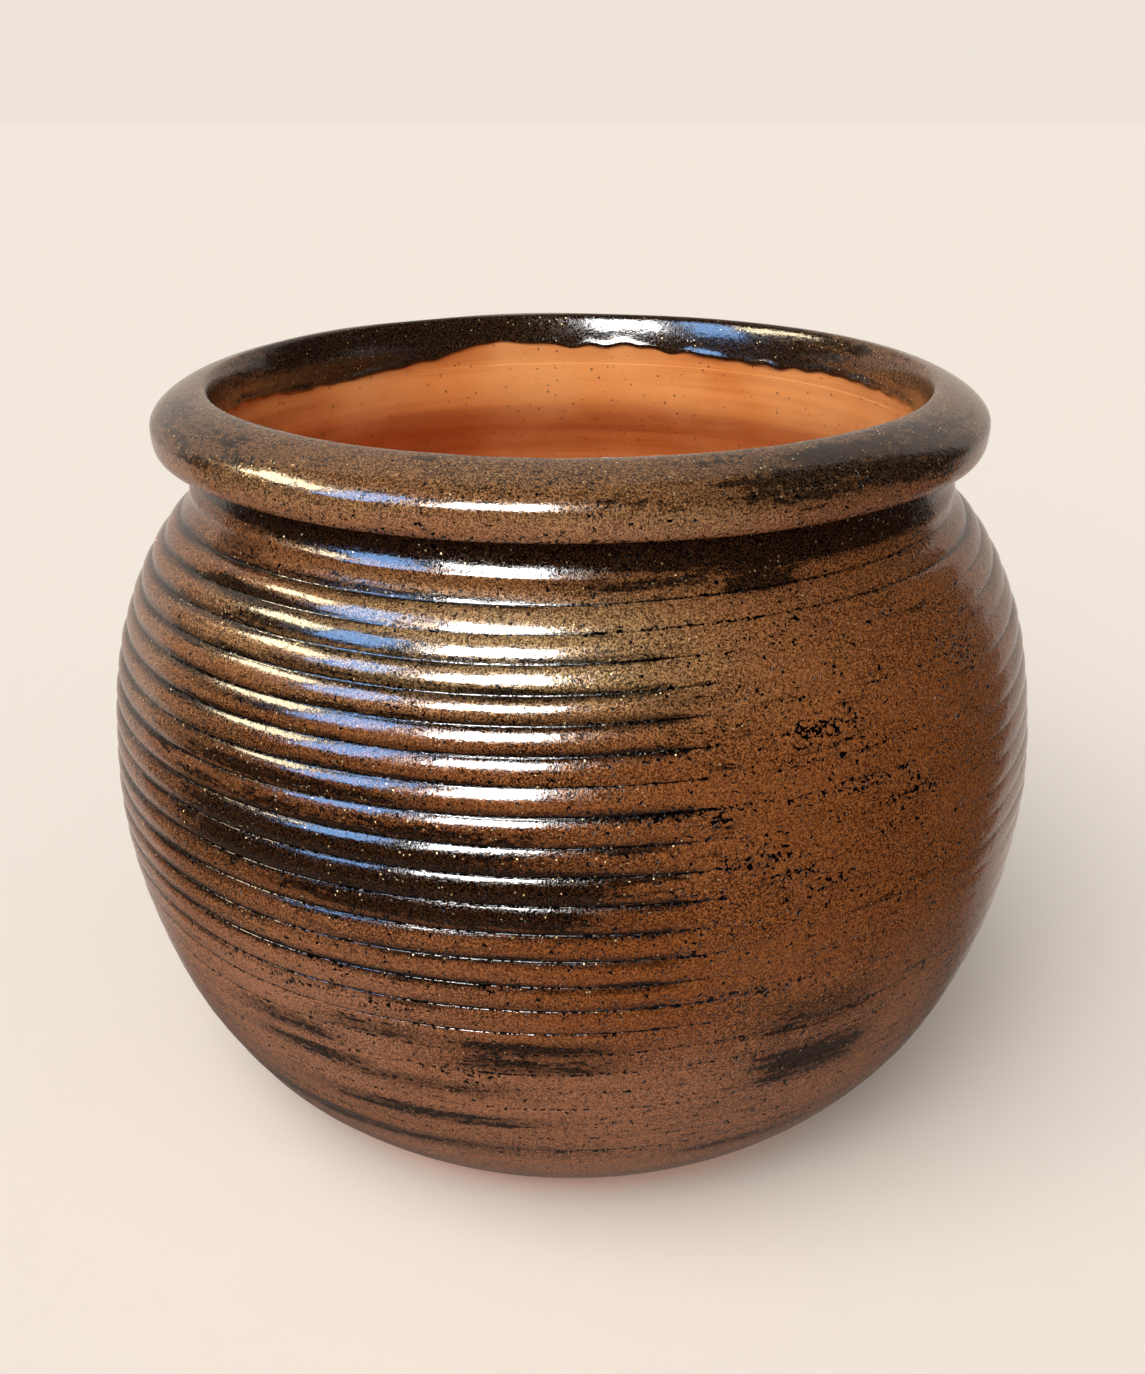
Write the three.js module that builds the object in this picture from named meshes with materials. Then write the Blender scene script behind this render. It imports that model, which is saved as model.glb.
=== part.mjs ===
// A wheel-thrown planter: a clay floor, a thrown wall and a rolled rim, and the coats of glaze fused on them.
// Millimetres, +Z up. The origin is the middle of the footprint, on the surface that the pot stands on.
// Every surface is an inset of one finished outline, so the clay and the glaze follow each other.
import * as THREE from "three";
import { mergeVertices } from "three/addons/utils/BufferGeometryUtils.js";

// Outline of the finished, glazed body
const HEIGHT = 284; // table to the crest of the rim
const BELLY_RADIUS = 180; // widest circle
const BELLY_HEIGHT = 138.8;
const FOOT_RADIUS = 110;
const FOOT_LEAN = 28; // degrees from the table to the wall where it leaves the foot
const SHOULDER_DRAW_IN = 33.8; // belly to the circle where the ridges end
const SHOULDER_LEAN = 36.2; // degrees from the upright to the wall there
const NECK_BAND = 20.4; // height of the band between the ridges and the rim
const NECK_DRAW_IN = 4.5; // shoulder circle to neck
const NECK_ROLL = 1.6; // swell of the soft roll round that band

// Rolled rim
const RIM_HEIGHT = 23.2; // underside to crest
const RIM_OVERHANG = 14; // neck to the outermost circle of the rim
const RIM_EDGE = 10.8; // underside to that circle
const LIP_WIDTH = 4.9; // throat to crest
const LIP_LAND = 3.3; // upright stretch inside the mouth, above the level of the underside

// Clay
const WALL = 8;
const HEEL = 8; // what the wall gains in thickness down at the floor
const HEEL_FADE = 110; // length of wall over which it is lost
const FLOOR = 14; // table to the inside of the floor
const FOOT_RING = 22; // width of the band that touches the table
const RECESS = 3; // height of the hollow inside that band
const DRAIN_RADIUS = 12.5;

// Glaze
const GLAZE = 0.8;
const SEAM = 0.3; // gap between two pieces that are fused on the real pot
const BARE_FOOT = 6; // table to the lower edge of the glaze
const MOUTH_GLAZE = 14; // crest down to the edge of the glaze inside the mouth

// Throwing ridges: grooves side by side that climb together, from left to right across the front
const GROOVES = 2;
const RIDGE_PITCH = 9.4; // up the wall, from a groove to the next
const RIDGE_DEPTH = 1.5; // crest to valley
const RIDGE_START = 66; // height above which the wall is ridged
const RIDGE_FADE = 18; // length of wall over which the ridges swell and die away

// Facets
const COLUMNS = 36;
const ROW = 18; // length of a facet up the plain stretches of the outside
const BAND_ROWS = 4; // up the band under the rim
const INSIDE_ROWS = 8;
const CORNER_ROWS = 4;

// Fullness of the curves: length of a handle over the run of its curve
const FOOT_HANDLE = 0.52;
const BELLY_HANDLE = 0.15;
const SHOULDER_HANDLE = 0.735;
const SHOULDER_END_HANDLE = 0.015;
const COVE_HANDLE = 0.9;
const RIM_LOWER_HANDLE = 0.9;
const RIM_UPPER_HANDLE = 0.4;
const LIP_HANDLE = 0.55;

// Levels and radii that follow from the sizes
const COAT = GLAZE + SEAM;
const footLean = THREE.MathUtils.degToRad(FOOT_LEAN);
const shoulderLean = THREE.MathUtils.degToRad(SHOULDER_LEAN);
const rimBottom = HEIGHT - RIM_HEIGHT;
const neckTop = rimBottom - SEAM;
const shoulderHeight = rimBottom - NECK_BAND;
const shoulderRadius = BELLY_RADIUS - SHOULDER_DRAW_IN;
const neckRadius = shoulderRadius - NECK_DRAW_IN;
const throatClay = neckRadius - COAT - WALL;
const throatRadius = throatClay - COAT;
const crestRadius = throatRadius + LIP_WIDTH;
const rimRadius = neckRadius + RIM_OVERHANG;

const point = (radius, height) => new THREE.Vector2(radius, height);

// Outline of the body, from under the table to the rim. The tail lets an inset of it reach the table.
const shoulderRise = shoulderHeight - BELLY_HEIGHT;
const alongFoot = point(Math.cos(footLean), Math.sin(footLean));
const alongShoulder = point(-Math.sin(shoulderLean), Math.cos(shoulderLean));
const foot = point(FOOT_RADIUS, 0);
const belly = point(BELLY_RADIUS, BELLY_HEIGHT);
const shoulder = point(shoulderRadius, shoulderHeight);
const neck = point(neckRadius, neckTop);
const coveHandle = (COVE_HANDLE * NECK_DRAW_IN) / Math.sin(shoulderLean);
const tailLength = WALL + HEEL;

const tail = new THREE.LineCurve(foot.clone().addScaledVector(alongFoot, -tailLength), foot);
const lowerBody = new THREE.CubicBezierCurve(
  foot,
  foot.clone().addScaledVector(alongFoot, FOOT_HANDLE * BELLY_HEIGHT),
  point(BELLY_RADIUS, BELLY_HEIGHT * (1 - BELLY_HANDLE)),
  belly,
);
const upperBody = new THREE.CubicBezierCurve(
  belly,
  point(BELLY_RADIUS, BELLY_HEIGHT + SHOULDER_HANDLE * shoulderRise),
  shoulder.clone().addScaledVector(alongShoulder, -SHOULDER_END_HANDLE * shoulderRise),
  shoulder,
);
const cove = new THREE.CubicBezierCurve(
  shoulder,
  shoulder.clone().addScaledVector(alongShoulder, coveHandle),
  point(neckRadius, neckTop - coveHandle),
  neck,
);
const outline = new THREE.CurvePath();
outline.curves = [tail, lowerBody, upperBody, cove];
const outlineLength = outline.getLength();
const shoulderArc = outlineLength - cove.getLength();

// A point sunk square to a curve by a depth. The clay lies to the left of the curve's direction.
const sunk = (onCurve, along, depth) => point(onCurve.x - along.y * depth, onCurve.y + along.x * depth);

// A point of the section at a depth below the outline, at a length along it from its lower end.
function bodyPoint(arc, depth) {
  const share = arc / outlineLength;
  return sunk(outline.getPointAt(share), outline.getTangentAt(share), depth);
}

// Length along the outline where the surface at a depth reaches a height. The depth is a function of that length.
function arcAtHeight(height, depthAt) {
  let low = 0;
  let high = outlineLength;
  const halvings = 40;
  for (let step = 0; step < halvings; step += 1) {
    const middle = (low + high) / 2;
    if (bodyPoint(middle, depthAt(middle)).y < height) low = middle;
    else high = middle;
  }
  return low;
}

const clayDepth = () => COAT;
const footArc = arcAtHeight(0, clayDepth);
const floorArc = arcAtHeight(FLOOR, clayDepth);
const wallArc = arcAtHeight(FLOOR + SEAM, clayDepth);
const glazeArc = arcAtHeight(BARE_FOOT, () => 0);

// Inside of the wall, which is thicker at the heel, and the free radius that it leaves round the floor.
const insideDepth = (arc) => {
  const above = THREE.MathUtils.smoothstep(arc - footArc, 0, HEEL_FADE);
  return COAT + WALL + HEEL * (1 - above);
};
const insideArc = arcAtHeight(FLOOR + SEAM, insideDepth);
const freeFloorRadius = bodyPoint(insideArc, insideDepth(insideArc)).x - SEAM;

// The ridges take whole pitches, counted down from the shoulder.
const ridgeRoom = shoulderArc - arcAtHeight(RIDGE_START, clayDepth);
const ridgeCount = Math.floor(ridgeRoom / RIDGE_PITCH);
const ridgeLength = ridgeCount * RIDGE_PITCH;
const ridgeArc = shoulderArc - ridgeLength;

// Lengths between two ends, kept on one lattice below the ridges, so that facets of neighbours run parallel.
function plainArcs(low, high) {
  const arcs = [high];
  for (let arc = ridgeArc; arc > low + ROW / 4; arc -= ROW) {
    if (arc < high - ROW / 4) arcs.push(arc);
  }
  arcs.push(low);
  return arcs.reverse();
}

// A row of the section's points, one for each column, the last column standing on the first.
const sameAllRound = (sectionPoint) => Array(COLUMNS + 1).fill(sectionPoint);

// Rows of the helix, two to a pitch. In a turn a row gains a pitch for each groove, and so ends on a row above that
// starts there. Both ends run out on a plain ring.
function ridgeRows(depth) {
  const rows = [];
  const lastRow = 2 * (ridgeCount + GROOVES);
  for (let index = 0; index <= lastRow; index += 1) {
    const side = index % 2 ? 1 : -1;
    const row = [];
    for (let column = 0; column <= COLUMNS; column += 1) {
      const climbed = (index / 2 - GROOVES * (1 - column / COLUMNS)) * RIDGE_PITCH;
      const rise = THREE.MathUtils.clamp(climbed, 0, ridgeLength);
      const swell = THREE.MathUtils.smoothstep(Math.min(rise, ridgeLength - rise), 0, RIDGE_FADE);
      row.push(bodyPoint(ridgeArc + rise, depth - side * swell * (RIDGE_DEPTH / 2)));
    }
    rows.push(row);
  }
  return rows;
}

// Outside of the body at a depth, from a length along the outline up to the neck.
function outsideRows(lowArc, depth) {
  const below = plainArcs(lowArc, ridgeArc).slice(0, -1);
  const band = [];
  for (let step = 1; step <= BAND_ROWS; step += 1) {
    const share = step / BAND_ROWS;
    const swell = 4 * share * (1 - share) * NECK_ROLL;
    band.push(sameAllRound(bodyPoint(shoulderArc + share * (outlineLength - shoulderArc), depth - swell)));
  }
  return [...below.map((arc) => sameAllRound(bodyPoint(arc, depth))), ...ridgeRows(depth), ...band];
}

// A closed body from rows that follow one another round its section, against the clock as seen with the axis at the left.
function bodyFromRows(rows) {
  const positions = [];
  const corner = (row, column) => {
    const turn = (2 * Math.PI * (column % COLUMNS)) / COLUMNS;
    const { x: radius, y: height } = row[column];
    return new THREE.Vector3(radius * Math.sin(turn), -radius * Math.cos(turn), height);
  };
  const addTriangle = (a, b, c) => {
    if (a.equals(b) || b.equals(c) || c.equals(a)) return;
    positions.push(...a.toArray(), ...b.toArray(), ...c.toArray());
  };
  rows.forEach((row, index) => {
    const next = rows[(index + 1) % rows.length];
    for (let column = 0; column < COLUMNS; column += 1) {
      const lowNear = corner(row, column);
      const lowFar = corner(row, column + 1);
      const highFar = corner(next, column + 1);
      const highNear = corner(next, column);
      addTriangle(lowNear, lowFar, highFar);
      addTriangle(lowNear, highFar, highNear);
    }
  });
  const loose = new THREE.BufferGeometry();
  loose.setAttribute("position", new THREE.Float32BufferAttribute(positions, 3));
  const geometry = mergeVertices(loose);
  geometry.computeVertexNormals();
  return geometry;
}

// A closed section turned about the upright axis.
function turned(section) {
  return new THREE.LatheGeometry([...section, section[0]], COLUMNS).rotateX(Math.PI / 2);
}

// Floor of clay with its foot ring, the recess inside the ring and the drain hole. An edge parts the free floor
// from the seat of the wall.
function baseDisc() {
  const side = plainArcs(footArc, floorArc).map((arc) => bodyPoint(arc, COAT));
  const ringInside = side[0].x - FOOT_RING;
  return turned([
    point(DRAIN_RADIUS, FLOOR),
    point(DRAIN_RADIUS, RECESS),
    point(ringInside - RECESS, RECESS),
    point(ringInside, 0),
    ...side,
    point(freeFloorRadius, FLOOR),
  ]);
}

// Wall of clay, ridged outside and smooth inside, thicker at the heel.
function thrownWall() {
  const inside = [];
  for (let step = 0; step <= INSIDE_ROWS; step += 1) {
    const arc = outlineLength + (step / INSIDE_ROWS) * (insideArc - outlineLength);
    inside.push(sameAllRound(bodyPoint(arc, insideDepth(arc))));
  }
  const seat = rimBottom + GLAZE;
  return bodyFromRows([
    ...outsideRows(wallArc, COAT),
    sameAllRound(point(neckRadius - COAT, seat)),
    sameAllRound(point(throatClay, seat)),
    ...inside,
  ]);
}

// A quarter turn of the rim between an end that runs level and one that runs upright.
function rimQuarter(from, to, startsLevel, fullness) {
  const run = point((to.x - from.x) * fullness, (to.y - from.y) * fullness);
  const leave = startsLevel ? point(from.x + run.x, from.y) : point(from.x, from.y + run.y);
  const arrive = startsLevel ? point(to.x, to.y - run.y) : point(to.x - run.x, to.y);
  return new THREE.CubicBezierCurve(from, leave, arrive, to);
}

// Outline of the finished rim, from the neck outward, over the crest and down inside the mouth.
const rimStart = point(neckRadius, rimBottom);
const rimWidest = point(rimRadius, rimBottom + RIM_EDGE);
const rimCrest = point(crestRadius, HEIGHT);
const rimThroat = point(throatRadius, rimBottom + LIP_LAND);
const rimLower = rimQuarter(rimStart, rimWidest, true, RIM_LOWER_HANDLE);
const rimUpper = rimQuarter(rimWidest, rimCrest, false, RIM_UPPER_HANDLE);
const rimLip = rimQuarter(rimCrest, rimThroat, true, LIP_HANDLE);

// Points along a rim curve at a depth, without its first one, up to a share of the curve.
function rimPoints(curve, depth, end = 1) {
  const points = [];
  for (let step = 1; step <= CORNER_ROWS; step += 1) {
    const share = (end * step) / CORNER_ROWS;
    points.push(sunk(curve.getPoint(share), curve.getTangent(share), depth));
  }
  return points;
}

// Rim of clay, seated on the wall.
function rolledRim() {
  return turned([
    point(throatClay, rimBottom + COAT),
    point(neckRadius, rimBottom + COAT),
    ...rimPoints(rimLower, COAT),
    ...rimPoints(rimUpper, COAT),
    ...rimPoints(rimLip, COAT),
  ]);
}

// Glaze on the outside of the wall.
function wallGlaze() {
  return bodyFromRows([...outsideRows(glazeArc, 0), ...outsideRows(glazeArc, GLAZE).reverse()]);
}

// Share of the lip's curve where the glaze inside the mouth ends.
function mouthGlazeShare() {
  const steps = 200;
  for (let step = 1; step < steps; step += 1) {
    if (rimLip.getPoint(step / steps).y <= HEIGHT - MOUTH_GLAZE) return step / steps;
  }
  return 1;
}

// Glaze over the rim. Its start closes the corner over the glaze of the wall.
function rimGlaze() {
  const lipEnd = mouthGlazeShare();
  const coat = (depth) => [
    point(neckRadius - GLAZE, rimBottom + depth),
    ...rimPoints(rimLower, depth),
    ...rimPoints(rimUpper, depth),
    ...rimPoints(rimLip, depth, lipEnd),
  ];
  return turned([...coat(0), ...coat(GLAZE).reverse()]);
}

const clay = new THREE.MeshStandardMaterial({ color: 0xc9834f, roughness: 0.9, metalness: 0 });
const glaze = new THREE.MeshStandardMaterial({ color: 0x5b3a22, roughness: 0.2, metalness: 0 });

const planter = new THREE.Group();
planter.name = "planter";
const pieces = [
  ["base_disc", baseDisc(), clay],
  ["thrown_wall", thrownWall(), clay],
  ["rolled_rim", rolledRim(), clay],
  ["wall_glaze", wallGlaze(), glaze],
  ["rim_glaze", rimGlaze(), glaze],
];
for (const [name, geometry, material] of pieces) {
  const mesh = new THREE.Mesh(geometry, material);
  mesh.name = name;
  planter.add(mesh);
}

export default planter;
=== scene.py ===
# A wheel-thrown planter: bare terracotta inside, a bronze-brown glaze with black pools outside.
# Metres, +Z up. The origin is the middle of the footprint, on the surface that the pot stands on.
# Angles round the pot are called turns: 0 is the front, towards -Y, and a quarter turn on is +X.
import math

import bpy
import numpy as np
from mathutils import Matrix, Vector


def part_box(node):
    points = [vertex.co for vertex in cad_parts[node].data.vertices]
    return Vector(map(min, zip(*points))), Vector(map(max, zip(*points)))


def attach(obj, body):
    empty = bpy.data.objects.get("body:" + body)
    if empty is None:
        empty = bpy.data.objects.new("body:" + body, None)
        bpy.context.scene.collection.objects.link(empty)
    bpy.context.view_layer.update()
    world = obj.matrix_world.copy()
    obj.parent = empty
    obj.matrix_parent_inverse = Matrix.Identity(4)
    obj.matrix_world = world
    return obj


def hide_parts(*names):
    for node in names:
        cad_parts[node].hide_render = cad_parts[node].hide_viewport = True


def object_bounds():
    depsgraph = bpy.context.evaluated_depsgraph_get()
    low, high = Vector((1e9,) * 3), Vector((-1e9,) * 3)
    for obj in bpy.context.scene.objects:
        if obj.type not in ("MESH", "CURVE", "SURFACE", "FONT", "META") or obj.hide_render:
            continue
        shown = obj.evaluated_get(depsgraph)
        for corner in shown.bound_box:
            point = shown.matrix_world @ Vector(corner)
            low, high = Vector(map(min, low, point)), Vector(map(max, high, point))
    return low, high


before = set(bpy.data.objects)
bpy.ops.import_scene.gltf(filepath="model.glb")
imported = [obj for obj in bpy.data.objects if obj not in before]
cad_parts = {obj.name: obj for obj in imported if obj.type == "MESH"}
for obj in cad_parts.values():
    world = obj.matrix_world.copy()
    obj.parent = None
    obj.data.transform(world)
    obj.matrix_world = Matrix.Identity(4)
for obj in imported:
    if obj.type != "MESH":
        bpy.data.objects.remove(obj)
cad_low, cad_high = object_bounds()

# Sizes read from the frame
HEIGHT = cad_high.z
RIM_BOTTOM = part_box("rim_glaze")[0].z
RIM_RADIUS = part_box("rim_glaze")[1].x
BARE_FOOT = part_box("wall_glaze")[0].z
FLOOR_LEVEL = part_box("base_disc")[1].z

# Outline of the finished body
BELLY_RADIUS = 0.180
BELLY_HEIGHT = 0.1388
FOOT_RADIUS = 0.110
FOOT_LEAN = math.radians(28)  # from the table to the wall
SHOULDER_DRAW_IN = 0.0338
SHOULDER_LEAN = math.radians(36.2)  # from the upright to the wall
NECK_BAND = 0.0204
NECK_DRAW_IN = 0.0045
RIM_EDGE = 0.0108  # underside of the rim to its outermost circle
LIP_WIDTH = 0.0049
LIP_LAND = 0.0033
WALL = 0.008
HEEL = 0.008  # what the wall gains in thickness at the floor
HEEL_FADE = 0.11
FOOT_RING = 0.022
RECESS = 0.003
DRAIN_RADIUS = 0.0125
GLAZE = 0.0008
END_REACH = 0.02  # from an end of the glaze to where its back makes room for the grooves
SEAM = 0.0003

# Fullness of the curves: length of a handle over the run of its curve
FOOT_HANDLE = 0.52
BELLY_HANDLE = 0.15
SHOULDER_HANDLE = 0.735
SHOULDER_END_HANDLE = 0.015
COVE_HANDLE = 0.9
RIM_LOWER_HANDLE = 0.9
RIM_UPPER_HANDLE = 0.4
LIP_HANDLE = 0.55

# Throwing ridges: grooves side by side that climb together, to the right across the front
GROOVES = 2
RIDGE_PITCH = 0.0094  # up the wall, from a groove to the next
RIDGE_DEPTH = 0.0015  # crest to valley
RIDGE_ROUNDNESS = 2.1  # 2 is a round ridge, and more is a flatter one with a sharper groove
CREST_SHARE = 0.62  # of a ridge's depth, from the groove up to the nominal surface
RIDGE_START = 0.024  # height where the ridges begin
RIDGE_RISE = 0.015  # height over which they begin
RIDGE_END = (0.001, 0.005)  # over the shoulder, where they die out
MEAN_RIDGE = 0.9
UNEVEN_RIDGES = 0.2
LEAST_RIDGE = 0.05
MOST_RIDGE = 1.1
NECK_ROLL = 0.0013  # swell of the roll round the band under the rim
BAND_SWELL = 1.4  # swell of the whole band, in rolls
ROLL_REACH = 0.0025
ROLL_PLACE = 3.1  # crest of the roll above the last groove, in reaches
ROLL_FROM = (0.0, 0.15)  # shares of the band over which the roll sets in

# Hand-made unevenness
RIM_TILT = 0.0019  # rise of the rim per metre to the right
RIM_SHIFT = -0.00085
RIM_BLEND = 0.004  # how far above and below its underside the rim's lean sets in
WANDER = 0.0007  # how far a groove strays from its spiral
DENTS = 0.00018  # slow waves of the surface
DENTED_FROM = (0.012, 0.030)
DENTED_TO = (0.245, 0.257)
WANDER_WAVE = 0.08
DENT_WAVE = 0.06
RIM_DENT_WAVE = 0.05
RIM_DENTED_FROM = (0.0, 0.012)
UNEVEN_WAVE = 0.014

# Where the ridges are shallower: each pair is where the change starts and ends
LOW_RIDGES = (0.086, 0.138)  # heights
LOW_SHARE = 0.16
SMOOTHED_SHARE = 0.88  # what a hand took off the ridges at the right front
SMOOTHED_FROM = (7, 17)  # azimuths
LESS_SMOOTHED_FROM = (52, 76)
LESS_SMOOTHED_SHARE = 0.55
SMOOTHED_TO = (100, 125)
SMOOTHED_UP_FROM = (0.094, 0.115)  # heights
SMOOTHED_UP_TO = (0.230, 0.238)
CALM_SHARE = 0.7
CALM_SHOULDER = (-6, 0.2360, 20, 0.0062, 1.0)  # a place, given as those of the glaze's patches

# Finger rings inside the wall and on the floor
FINGER_PITCH = 0.0125
FINGER_RING = 0.00022
FINE_FINGER_RING = 0.00012
FINE_FINGER_RINGS = 3  # to a finger's pitch
FINGER_PRESSURE = (0.6, 0.4)  # mean and change
FINGER_WAVE = 0.05
FINE_FINGER_WAVE = 0.04
UNDER_RIM = 0.012  # from the top of the wall to where the rings are full
OVER_FLOOR = 0.010  # and from the floor
FLOOR_PITCH = 0.011
FLOOR_RING = 0.00035
FLOOR_RINGS_FROM = (0.02, 0.03)  # radii
FLOOR_RINGS_TO = (0.09, 0.10)
FLOOR_SKIN = (-0.004, -0.0005)  # heights under the floor's level over which its rings set in
BASE_ROUNDING = 0.0012
BASE_STEP = 0.003

# Lower edge of the glaze inside the mouth
EDGE_WAVES = 0.0004
BEAD = 0.0005
BEAD_REACH = 0.0022
BEAD_CHANGE = 0.5
EDGE_ROUNDING = 0.0007

# Mesh
COLUMNS = 384
ROWS_IN_RIDGE = (0.0, 0.07, 0.2, 0.4, 0.6, 0.8, 0.93)  # shares of a ridge, closer at its groove
INSIDE_ROWS = 110
HIDDEN_ROWS = 24
RIM_ROWS = 84
ROW_CROWDING = 0.03  # how far the rows of the rim are drawn to its crest
HEEL_ROWS = 6
TEXTURE_MARGIN = 0.005
SHOWN_TEXTURE = 0.97  # share of the texture's height for the rows that show

MILLIMETRE = 0.001
HAIR = 0.00005  # keeps an edge crisp where the surface bends sharply
COAT = GLAZE + SEAM
SHOULDER_HEIGHT = RIM_BOTTOM - NECK_BAND
SHOULDER_RADIUS = BELLY_RADIUS - SHOULDER_DRAW_IN
NECK_TOP = RIM_BOTTOM - SEAM
NECK_RADIUS = SHOULDER_RADIUS - NECK_DRAW_IN
THROAT_CLAY = NECK_RADIUS - COAT - WALL
THROAT_RADIUS = THROAT_CLAY - COAT
CREST_RADIUS = THROAT_RADIUS + LIP_WIDTH


def smooth(value, low, high):
    """0 below low, 1 above high and a smooth step between them."""
    share = np.clip((value - low) / (high - low), 0, 1)
    return share * share * (3 - 2 * share)


def bezier(start, leave, arrive, end, count=160):
    t = np.linspace(0, 1, count)[:, None]
    s = 1 - t
    shares = (s**3, 3 * s * s * t, 3 * s * t * t, t**3)
    corners = [np.array(corner, float) for corner in (start, leave, arrive, end)]
    return sum(share * corner for share, corner in zip(shares, corners))


class Section:
    """Outline of a turned body, read by the length along it. Depths go into the clay."""

    def __init__(self, *curves):
        points = np.concatenate([curves[0], *(curve[1:] for curve in curves[1:])])
        steps = np.linalg.norm(np.diff(points, axis=0), axis=1)
        self.arcs = np.concatenate([[0], np.cumsum(steps)])
        self.length = self.arcs[-1]
        self.points = points
        along = np.gradient(points, self.arcs, axis=0)
        self.along = along / np.linalg.norm(along, axis=1)[:, None]

    def at(self, arc, depth=0.0):
        radius, height = (np.interp(arc, self.arcs, self.points[:, axis]) for axis in (0, 1))
        run, rise = (np.interp(arc, self.arcs, self.along[:, axis]) for axis in (0, 1))
        return radius - rise * depth, height + run * depth

    def arc_at_height(self, height, depth=0.0):
        return np.interp(height, self.at(self.arcs, depth)[1], self.arcs)


def body_section():
    rise = SHOULDER_HEIGHT - BELLY_HEIGHT
    foot_run = np.array([math.cos(FOOT_LEAN), math.sin(FOOT_LEAN)])
    shoulder_run = np.array([-math.sin(SHOULDER_LEAN), math.cos(SHOULDER_LEAN)])
    foot = np.array([FOOT_RADIUS, 0])
    belly = np.array([BELLY_RADIUS, BELLY_HEIGHT])
    shoulder = np.array([SHOULDER_RADIUS, SHOULDER_HEIGHT])
    neck = np.array([NECK_RADIUS, NECK_TOP])
    cove = COVE_HANDLE * NECK_DRAW_IN / math.sin(SHOULDER_LEAN)
    tail = np.array([foot - foot_run * (WALL + HEEL), foot])
    below_belly = belly - (0, BELLY_HEIGHT * BELLY_HANDLE)
    above_belly = belly + (0, SHOULDER_HANDLE * rise)
    lower = bezier(foot, foot + foot_run * (FOOT_HANDLE * BELLY_HEIGHT), below_belly, belly)
    upper = bezier(belly, above_belly, shoulder - shoulder_run * (SHOULDER_END_HANDLE * rise), shoulder)
    top = bezier(shoulder, shoulder + shoulder_run * cove, neck - (0, cove), neck)
    return Section(tail, lower, upper, top)


def quarter(start, end, starts_level, fullness):
    """Quarter turn between an end that runs level and one that runs upright."""
    run, rise = (np.array(end) - start) * fullness
    level, upright = np.array([run, 0]), np.array([0, rise])
    if starts_level:
        return bezier(start, start + level, end - upright, end)
    return bezier(start, start + upright, end - level, end)


def rim_section():
    start = np.array([NECK_RADIUS, RIM_BOTTOM])
    widest = np.array([RIM_RADIUS, RIM_BOTTOM + RIM_EDGE])
    crest = np.array([CREST_RADIUS, HEIGHT])
    throat = np.array([THROAT_RADIUS, RIM_BOTTOM + LIP_LAND])
    lower = quarter(start, widest, True, RIM_LOWER_HANDLE)
    upper = quarter(widest, crest, False, RIM_UPPER_HANDLE)
    lip = quarter(crest, throat, True, LIP_HANDLE)
    land = np.linspace(throat, (THROAT_RADIUS, RIM_BOTTOM), 20)
    return Section(lower, upper, lip, land)


body = body_section()
rim = rim_section()
turns = np.linspace(-math.pi, math.pi, COLUMNS + 1)


def field(turn, climb, seed, wavelength, around=(1, 8), waves=14):
    """Smooth random field round the pot, mostly between -1 and 1. It closes on itself at the back."""
    rng = np.random.default_rng(seed)
    total = 0
    for _ in range(waves):
        count = rng.integers(around[0], around[1] + 1) * rng.choice((-1, 1))
        steepness = rng.uniform(0.3, 1) * 2 * math.pi / wavelength
        total = total + np.cos(count * turn + steepness * climb + rng.uniform(0, 2 * math.pi))
    return total / math.sqrt(2 * waves) * 1.6


def across(turn, azimuth):
    """Degrees from an azimuth to a turn, the short way round."""
    return (np.degrees(turn) - azimuth + 180) % 360 - 180


def spots(turn, height, places):
    """Soft patches. A place is its azimuth, height, half width in degrees, half height and strength."""
    total = np.zeros(np.broadcast(turn, height).shape)
    for azimuth, level, wide, tall, strength in places:
        away = (across(turn, azimuth) / wide) ** 4 + ((height - level) / tall) ** 4
        total = np.maximum(total, strength / (1 + away))
    return total


# Throwing spiral: counts grow by one from a groove to the next, and the last groove lies at the shoulder
shoulder_arc = body.arc_at_height(SHOULDER_HEIGHT)


def relief(turn, height):
    """Share of the full ridge depth at a place."""
    azimuth = np.degrees(turn)
    smoothed = smooth(azimuth, *SMOOTHED_FROM) * (1 - smooth(azimuth, *SMOOTHED_TO))
    smoothed = smoothed * (1 - smooth(azimuth, *LESS_SMOOTHED_FROM) * LESS_SMOOTHED_SHARE)
    smoothed = smoothed * smooth(height, *SMOOTHED_UP_FROM) * (1 - smooth(height, *SMOOTHED_UP_TO) / 2)
    low = LOW_SHARE + (1 - LOW_SHARE) * smooth(height, *LOW_RIDGES)
    uneven = MEAN_RIDGE + UNEVEN_RIDGES * field(turn, height, 5, UNEVEN_WAVE, (1, 7))
    calm = 1 - CALM_SHARE * spots(turn, height, [CALM_SHOULDER])
    share = uneven * low * calm * (1 - SMOOTHED_SHARE * smoothed)
    start = smooth(height, RIDGE_START, RIDGE_START + RIDGE_RISE)
    end = 1 - smooth(height - SHOULDER_HEIGHT, *RIDGE_END)
    return np.clip(share, LEAST_RIDGE, MOST_RIDGE) * start * end


def ridge_profile(share):
    """Height of the surface over its groove, from 0 to 1, across one ridge."""
    return 1 - np.abs(2 * share - 1) ** RIDGE_ROUNDNESS


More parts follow.
